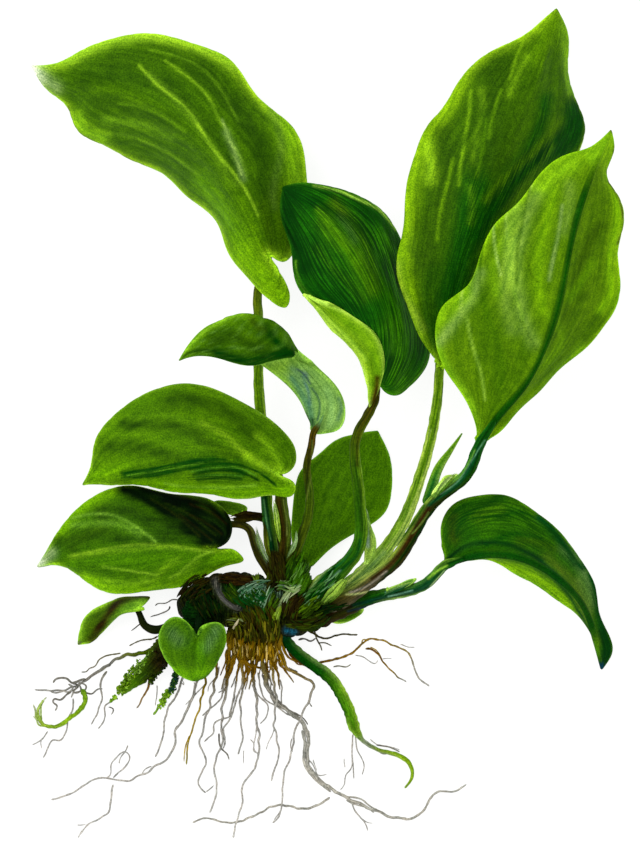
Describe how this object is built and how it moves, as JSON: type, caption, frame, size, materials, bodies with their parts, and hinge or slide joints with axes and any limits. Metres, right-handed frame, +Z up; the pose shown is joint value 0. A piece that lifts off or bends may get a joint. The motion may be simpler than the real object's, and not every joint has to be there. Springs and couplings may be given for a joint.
{
  "type": "bare-rooted anubias plant",
  "caption": "Water plant laid on its side: a creeping rhizome with broad leaves on long stalks above it and a fan of thin roots below.",
  "frame": {"origin": "on the surface the plant lies on, under the middle of its bounding box", "axes": "+Y from the roots towards the leaf tips, +X towards the crown's growing end, +Z up from the surface"},
  "size_m": [0.1776, 0.249, 0.0458],
  "materials": {
    "leaf_blade": "satin",
    "dark_leaf_blade": "satin",
    "pale_leaf_underside": "satin",
    "leaf_sheath": "matte",
    "leaf_stalk": "satin",
    "rhizome_skin": "matte",
    "brown_root": "matte",
    "grey_root": "matte",
    "green_root": "matte"
  },
  "bodies": {
    "root": {"upper_left_leaf": "leaf_blade", "left_leaf": "leaf_blade", "lower_left_leaf": "leaf_blade", "small_left_leaf": "leaf_blade", "heart_leaf": "leaf_blade", "tall_right_leaf": "leaf_blade", "young_leaf": "leaf_blade", "rolled_leaf": "leaf_blade", "drooping_leaf": "leaf_blade", "middle_leaf": "dark_leaf_blade", "back_leaf": "dark_leaf_blade", "front_right_leaf": "pale_leaf_underside", "folded_leaf": "pale_leaf_underside", "upper_sheath": "leaf_sheath", "lower_sheath": "leaf_sheath", "inner_sheath": "leaf_sheath", "crown_bud": "leaf_sheath", "upper_left_stalk": "leaf_stalk", "middle_stalk": "leaf_stalk", "folded_leaf_stalk": "leaf_stalk", "left_stalk": "leaf_stalk", "lower_left_stalk": "leaf_stalk", "small_left_stalk": "leaf_stalk", "heart_leaf_stalk": "leaf_stalk", "back_stalk": "leaf_stalk", "tall_right_stalk": "leaf_stalk", "front_right_stalk": "leaf_stalk", "drooping_stalk": "leaf_stalk", "young_leaf_stalk": "leaf_stalk", "rhizome": "rhizome_skin", "side_shoot": "rhizome_skin", "golden_root": "brown_root", "kinked_root": "brown_root", "curved_root": "brown_root", "short_root": "brown_root", "straight_root": "brown_root", "crossing_root": "brown_root", "looping_root": "brown_root", "right_root": "brown_root", "right_root_fork": "brown_root", "stub_root": "brown_root", "left_long_root": "grey_root", "left_long_root_fork": "grey_root", "left_thin_root": "grey_root", "thick_root": "grey_root", "thick_root_fork": "grey_root", "upper_right_root": "grey_root", "far_left_root": "grey_root", "far_left_root_fork": "grey_root", "green_root": "green_root", "curled_root": "green_root", "mossy_root": "green_root"}
  },
  "joints": []
}
